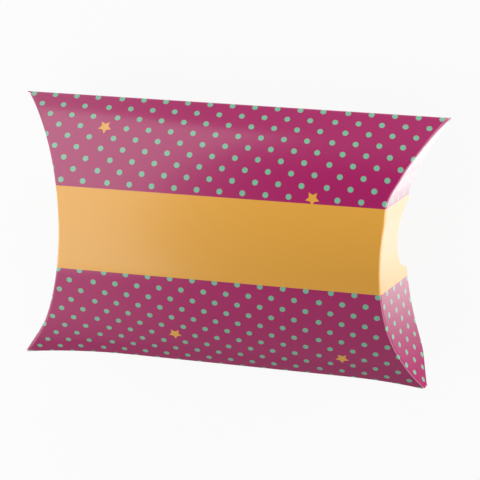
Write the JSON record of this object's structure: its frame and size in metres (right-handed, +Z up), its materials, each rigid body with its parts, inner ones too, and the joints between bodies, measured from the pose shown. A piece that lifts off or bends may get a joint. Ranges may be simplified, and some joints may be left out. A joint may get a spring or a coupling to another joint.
{
  "type": "pillow box",
  "caption": "Folded carton pillow box: two bowed panels joined along straight long folds, with curved creases and hinged end flaps with a thumb notch.",
  "frame": {"origin": "middle of the box's bounding box, on the table under the crown of the back panel", "axes": "+X along the long folds, between the end flaps; +Y across the box towards the upper long fold; +Z up through the thickness, out of the printed front panel"},
  "size_m": [0.159, 0.101, 0.042],
  "materials": {
    "printed_board": "offset printed magenta with teal dots, plain amber band and small stars, gloss laminated",
    "bare_board": "unprinted white carton board, matt",
    "dried_glue": "thin film of dried carton glue"
  },
  "bodies": {
    "sleeve": {"front_panel": "printed_board", "back_panel": "printed_board", "upper_fold": "printed_board", "lower_fold": "printed_board", "glue_tab": "bare_board", "glue_line": "dried_glue"},
    "right_outer": {"right_outer_flap": "printed_board"},
    "left_outer": {"left_outer_flap": "printed_board"},
    "right_inner": {"right_inner_flap": "printed_board"},
    "left_inner": {"left_inner_flap": "printed_board"}
  },
  "joints": [
    {"name": "right_outer_crease", "type": "hinge", "parent": "sleeve", "child": "right_outer", "pos_m": [0.0596, 0, 0.042], "axis": [0, -1, 0], "range_deg": [0, 75]},
    {"name": "left_outer_crease", "type": "hinge", "parent": "sleeve", "child": "left_outer", "pos_m": [-0.0596, 0, 0.042], "axis": [0, 1, 0], "range_deg": [0, 75]},
    {"name": "right_inner_crease", "type": "hinge", "parent": "sleeve", "child": "right_inner", "pos_m": [0.0596, 0, 0], "axis": [0, 1, 0], "range_deg": [0, 90]},
    {"name": "left_inner_crease", "type": "hinge", "parent": "sleeve", "child": "left_inner", "pos_m": [-0.0596, 0, 0], "axis": [0, -1, 0], "range_deg": [0, 90]}
  ],
  "couplings": [
    {"joint": "right_inner_crease", "follows": "right_outer_crease", "ratio": 1.2},
    {"joint": "left_inner_crease", "follows": "left_outer_crease", "ratio": 1.2}
  ]
}
